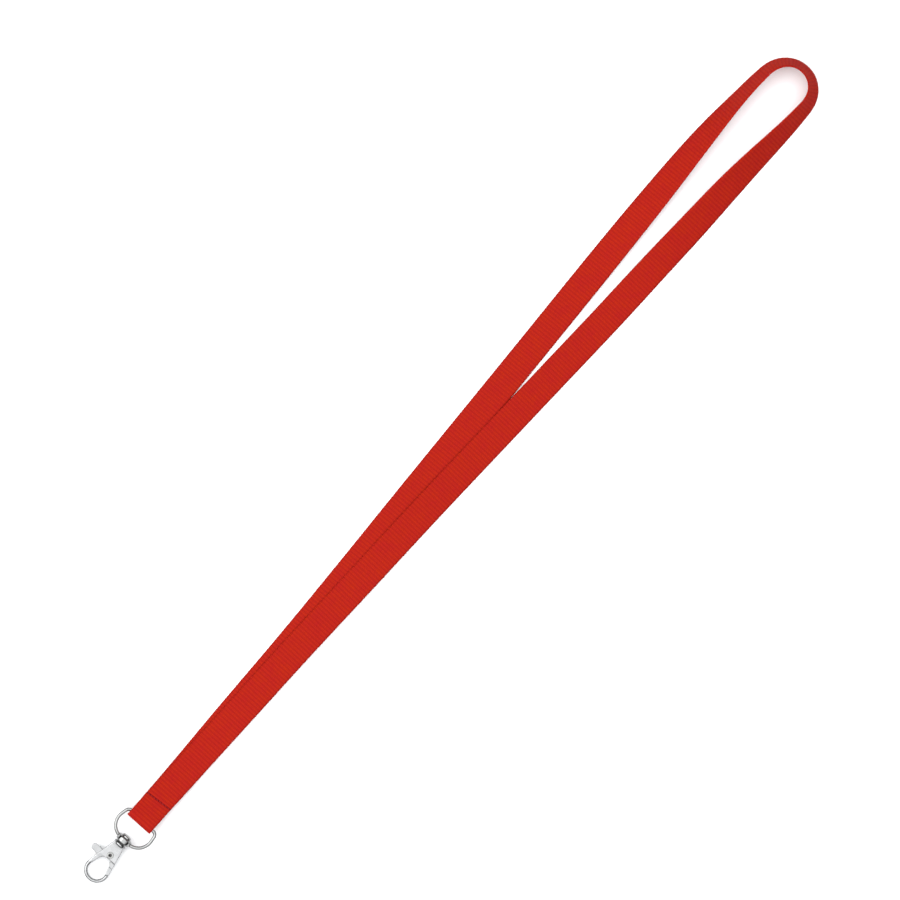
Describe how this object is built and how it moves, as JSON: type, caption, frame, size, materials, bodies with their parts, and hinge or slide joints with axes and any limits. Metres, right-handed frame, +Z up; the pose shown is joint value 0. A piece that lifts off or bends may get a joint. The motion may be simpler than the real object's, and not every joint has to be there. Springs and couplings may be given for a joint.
{
  "type": "lanyard",
  "caption": "Flat woven neck lanyard, sewn round a D-shaped eye that carries a swivelling trigger snap hook for a badge or keys.",
  "frame": {"origin": "centre of the lanyard's box, on the table it lies on", "axes": "+X along the lanyard from the hook to the neck loop, +Y to the side of the hook's thumb tab, +Z up"},
  "size_m": [0.545, 0.0384, 0.0145],
  "materials": {
    "webbing": "woven polyester with a soft sheen",
    "sewing_thread": "twisted polyester thread",
    "plated_eye": "bright nickel plate",
    "plated_hook": "bright nickel plate over a casting",
    "plated_lever": "bright nickel plate",
    "plated_fittings": "nickel plate",
    "spring_steel": "drawn wire"
  },
  "bodies": {
    "strap": {"webbing_ring_fold": "webbing", "webbing_front_run": "webbing", "webbing_neck_turn": "webbing", "webbing_back_run": "webbing", "seam_needle_thread": "sewing_thread", "seam_bobbin_thread": "sewing_thread"},
    "eye": {"d_eye": "plated_eye"},
    "hook": {"hook_body": "plated_hook", "swivel_stud": "plated_fittings", "pivot_rivet": "plated_fittings", "gate_spring": "spring_steel"},
    "gate": {"gate_lever": "plated_lever"}
  },
  "joints": [
    {"name": "ring_tilt", "type": "hinge", "parent": "strap", "child": "eye", "pos_m": [-0.23211, -0.00438, 0.0058], "axis": [0.0558, 0.9984, 0], "range_deg": [-130, 160]},
    {"name": "swivel_spin", "type": "hinge", "parent": "eye", "child": "hook", "pos_m": [-0.2456, -0.00362, 0.00423], "axis": [-0.9917, 0.0555, -0.1156], "continuous": true},
    {"name": "gate_pivot", "type": "hinge", "parent": "hook", "child": "gate", "pos_m": [-0.25565, -0.00366, 0.00306], "axis": [0.1155, -0.0065, -0.9933], "range_deg": [0, 28], "stiffness_Nm_per_rad": 0.03, "springref_deg": -28.65}
  ]
}
